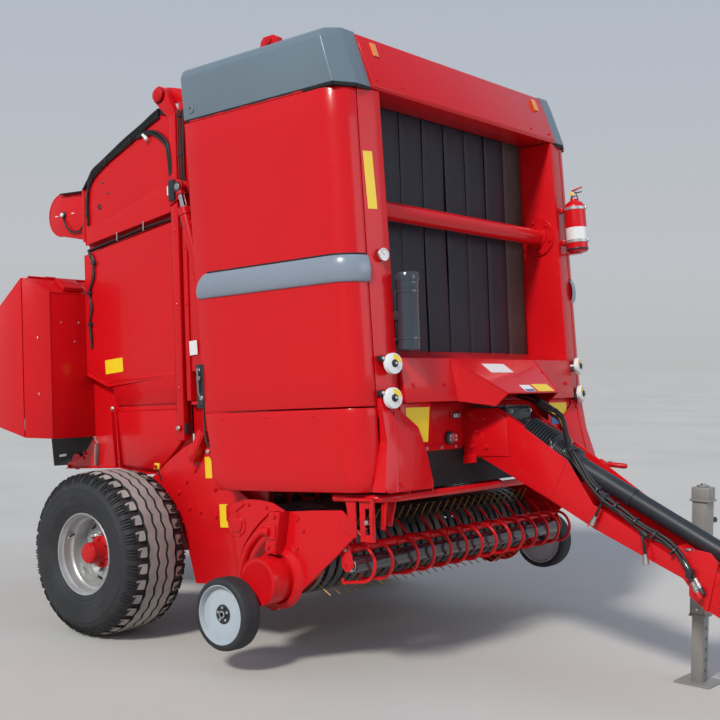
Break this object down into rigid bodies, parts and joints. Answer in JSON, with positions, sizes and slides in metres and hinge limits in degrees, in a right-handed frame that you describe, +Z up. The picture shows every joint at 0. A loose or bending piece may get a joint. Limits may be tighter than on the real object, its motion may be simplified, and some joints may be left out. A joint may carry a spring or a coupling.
{
  "type": "round baler",
  "caption": "Towed round baler with belt chamber, lifting rear gate, gullwing side shields, tined pickup, drawbar with PTO shaft and parking jack.",
  "frame": {"origin": "middle of the overall box, on the floor under the parked machine", "axes": "+X to the machine's left side, +Y rearwards, +Z up"},
  "size_m": [2.544, 4.5066, 3.0571],
  "materials": {
    "red_paint": "gloss red enamel",
    "slate_plastic": "blue-grey moulded",
    "dark_paint": "dark grey enamel",
    "silver_paint": "silver enamel",
    "belt_rubber": "ribbed belting",
    "tyre_rubber": "moulded tread",
    "hose_rubber": "hose cover",
    "chrome_rod": "polished",
    "black_plastic": "guard tube",
    "bare_steel": "worn"
  },
  "bodies": {
    "frame": {"side_walls": "red_paint", "front_posts": "red_paint", "roof_header": "red_paint", "roof_caps": "slate_plastic", "front_beam": "red_paint", "gearbox_hood": "red_paint", "gearbox": "dark_paint", "cross_tube": "red_paint", "lower_shields": "red_paint", "bumper_bar": "red_paint", "chassis_sides": "red_paint", "axle_beam": "red_paint", "drawbar": "red_paint", "hitch_clevis": "dark_paint", "pto_guard": "black_plastic", "pto_yoke": "bare_steel", "jack_sleeve": "silver_paint", "chamber_belts": "belt_rubber", "chamber_rollers": "bare_steel", "feed_rotor": "red_paint", "canister": "dark_paint", "extinguisher": "red_paint", "rope_pulleys": "silver_paint", "pressure_dial": "silver_paint", "hydraulic_hoses": "hose_rubber"},
    "jack_leg": {"jack_leg": "bare_steel"},
    "side_shield_right": {"side_shield_right": "red_paint"},
    "side_shield_left": {"side_shield_left": "red_paint"},
    "wheel_right": {"tyre_right": "tyre_rubber", "rim_right": "silver_paint"},
    "wheel_left": {"tyre_left": "tyre_rubber", "rim_left": "silver_paint"},
    "tailgate": {"tailgate_sides": "red_paint", "tailgate_beams": "red_paint", "tailgate_rollers": "bare_steel", "tailgate_belts": "belt_rubber", "net_box": "red_paint"},
    "net_box_cover": {"net_box_cover": "red_paint"},
    "barrel_right": {"cylinder_barrel_right": "red_paint"},
    "barrel_left": {"cylinder_barrel_left": "red_paint"},
    "rod_right": {"cylinder_rod_right": "chrome_rod"},
    "rod_left": {"cylinder_rod_left": "chrome_rod"},
    "pickup": {"pickup_frame": "red_paint"},
    "pickup_reel": {"pickup_reel": "dark_paint"},
    "windguard": {"windguard": "red_paint"},
    "crop_roller": {"crop_roller": "dark_paint"},
    "gauge_wheel_right": {"gauge_wheel_right": "tyre_rubber"},
    "gauge_wheel_left": {"gauge_wheel_left": "tyre_rubber"}
  },
  "joints": [
    {"name": "wheel_right_spin", "type": "hinge", "parent": "frame", "child": "wheel_right", "pos_m": [-1.07, 1.0711, 0.437], "axis": [1, 0, 0], "continuous": true},
    {"name": "wheel_left_spin", "type": "hinge", "parent": "frame", "child": "wheel_left", "pos_m": [1.07, 1.0711, 0.437], "axis": [1, 0, 0], "continuous": true},
    {"name": "tailgate_lift", "type": "hinge", "parent": "frame", "child": "tailgate", "pos_m": [0, 0.98294, 2.92313], "axis": [1, 0, 0], "range_deg": [0, 60]},
    {"name": "net_box_cover_lift", "type": "hinge", "parent": "tailgate", "child": "net_box_cover", "pos_m": [0, 1.749, 1.92635], "axis": [1, 0, 0], "range_deg": [0, 70]},
    {"name": "barrel_right_swing", "type": "hinge", "parent": "frame", "child": "barrel_right", "pos_m": [-0.905, 0.3413, 1.28573], "axis": [1, 0, 0], "range_deg": [-20, 0]},
    {"name": "barrel_left_swing", "type": "hinge", "parent": "frame", "child": "barrel_left", "pos_m": [0.905, 0.3413, 1.28573], "axis": [1, 0, 0], "range_deg": [-20, 0]},
    {"name": "rod_right_stroke", "type": "slide", "parent": "barrel_right", "child": "rod_right", "axis": [0, 0.3477, 0.9376], "range_m": [0, 0.36]},
    {"name": "rod_left_stroke", "type": "slide", "parent": "barrel_left", "child": "rod_left", "axis": [0, 0.3477, 0.9376], "range_m": [0, 0.36]},
    {"name": "side_shield_right_lift", "type": "hinge", "parent": "frame", "child": "side_shield_right", "pos_m": [-1.061, 1.23281, 2.63907], "axis": [0, 0.9973, -0.0732], "range_deg": [0, 75]},
    {"name": "side_shield_left_lift", "type": "hinge", "parent": "frame", "child": "side_shield_left", "pos_m": [1.061, 1.23281, 2.63907], "axis": [0, -0.9973, 0.0732], "range_deg": [0, 75]},
    {"name": "pickup_lift", "type": "hinge", "parent": "frame", "child": "pickup", "pos_m": [0, 0.18546, 0.66548], "axis": [1, 0, 0], "range_deg": [-1.5, 20]},
    {"name": "pickup_reel_spin", "type": "hinge", "parent": "pickup", "child": "pickup_reel", "pos_m": [0, -0.16389, 0.55075], "axis": [1, 0, 0], "continuous": true},
    {"name": "windguard_lift", "type": "hinge", "parent": "pickup", "child": "windguard", "pos_m": [0, -0.11227, 0.70739], "axis": [1, 0, 0], "range_deg": [-10, 0]},
    {"name": "crop_roller_spin", "type": "hinge", "parent": "windguard", "child": "crop_roller", "pos_m": [0, -0.51329, 0.54433], "axis": [1, 0, 0], "continuous": true},
    {"name": "gauge_wheel_right_spin", "type": "hinge", "parent": "pickup", "child": "gauge_wheel_right", "pos_m": [-1.206, 0.01202, 0.28365], "axis": [1, 0, 0], "continuous": true},
    {"name": "gauge_wheel_left_spin", "type": "hinge", "parent": "pickup", "child": "gauge_wheel_left", "pos_m": [1.206, -0.27922, 0.41383], "axis": [1, 0, 0], "continuous": true},
    {"name": "jack_leg_slide", "type": "slide", "parent": "frame", "child": "jack_leg", "axis": [0, 0, 1], "range_m": [0, 0.3]}
  ],
  "couplings": [
    {"joint": "barrel_right_swing", "follows": "tailgate_lift", "ratio": -0.32477},
    {"joint": "barrel_left_swing", "follows": "tailgate_lift", "ratio": -0.32477},
    {"joint": "rod_right_stroke", "follows": "tailgate_lift", "m_per_rad": 0.32994},
    {"joint": "rod_left_stroke", "follows": "tailgate_lift", "m_per_rad": 0.32994}
  ]
}
